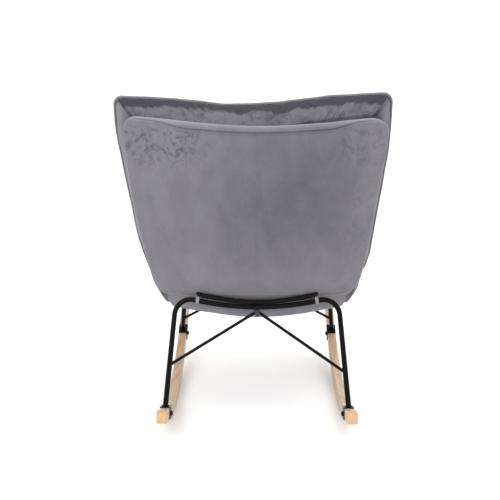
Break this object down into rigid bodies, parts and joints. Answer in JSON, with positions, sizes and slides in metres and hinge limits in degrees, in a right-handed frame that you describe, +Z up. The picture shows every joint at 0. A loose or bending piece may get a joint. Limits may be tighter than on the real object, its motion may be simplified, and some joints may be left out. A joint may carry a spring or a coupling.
{
  "type": "upholstered rocking chair",
  "caption": "Rocking chair with a velvet bucket seat, rounded padded back and low arms on a black bent tube frame, standing on two curved wooden rockers.",
  "frame": {"origin": "middle of the bottom of the bounding box, on the floor", "axes": "+Z up, +Y towards the back of the chair, which faces -Y, and +X towards the sitter's left hand"},
  "size_m": [0.7828, 0.86, 0.9253],
  "materials": {
    "rocker_wood": "satin",
    "plywood": "matte",
    "black_frame": "satin",
    "tab_metal": "satin",
    "black_bolts": "satin",
    "zinc_steel": "satin",
    "insert_brass": "satin",
    "clip_plastic": "matte",
    "velvet": "matte",
    "piping": "matte"
  },
  "bodies": {
    "root": {"rocker_left": "rocker_wood", "rocker_right": "rocker_wood", "rear_leg_tube": "black_frame", "front_leg_tube": "black_frame", "seat_ring": "black_frame", "foot_bracket_rear_left": "black_frame", "foot_bracket_rear_right": "black_frame", "foot_bracket_front_left": "black_frame", "foot_bracket_front_right": "black_frame", "rear_brace_left": "black_frame", "rear_brace_right": "black_frame", "front_brace_left": "black_frame", "front_brace_right": "black_frame", "rear_brace_tab": "tab_metal", "front_brace_tab": "tab_metal", "brace_bolts": "black_bolts", "rocker_bolts": "black_bolts", "rocker_inserts": "insert_brass", "ring_clip_rear_left": "clip_plastic", "ring_clip_rear_right": "clip_plastic", "ring_clip_front_left": "clip_plastic", "ring_clip_front_right": "clip_plastic", "seat_lugs": "black_frame", "seat_bolts": "zinc_steel", "seat_nuts": "zinc_steel", "seat_board": "plywood", "seat_base_pad": "velvet", "seat_cushion": "velvet", "arm_board_left": "plywood", "arm_board_right": "plywood", "arm_left": "velvet", "arm_right": "velvet", "arm_screws": "zinc_steel", "back_brackets": "zinc_steel", "back_screws": "zinc_steel", "back_core": "plywood", "back_shell": "velvet", "back_cushion": "velvet", "edge_piping": "piping"}
  },
  "joints": []
}
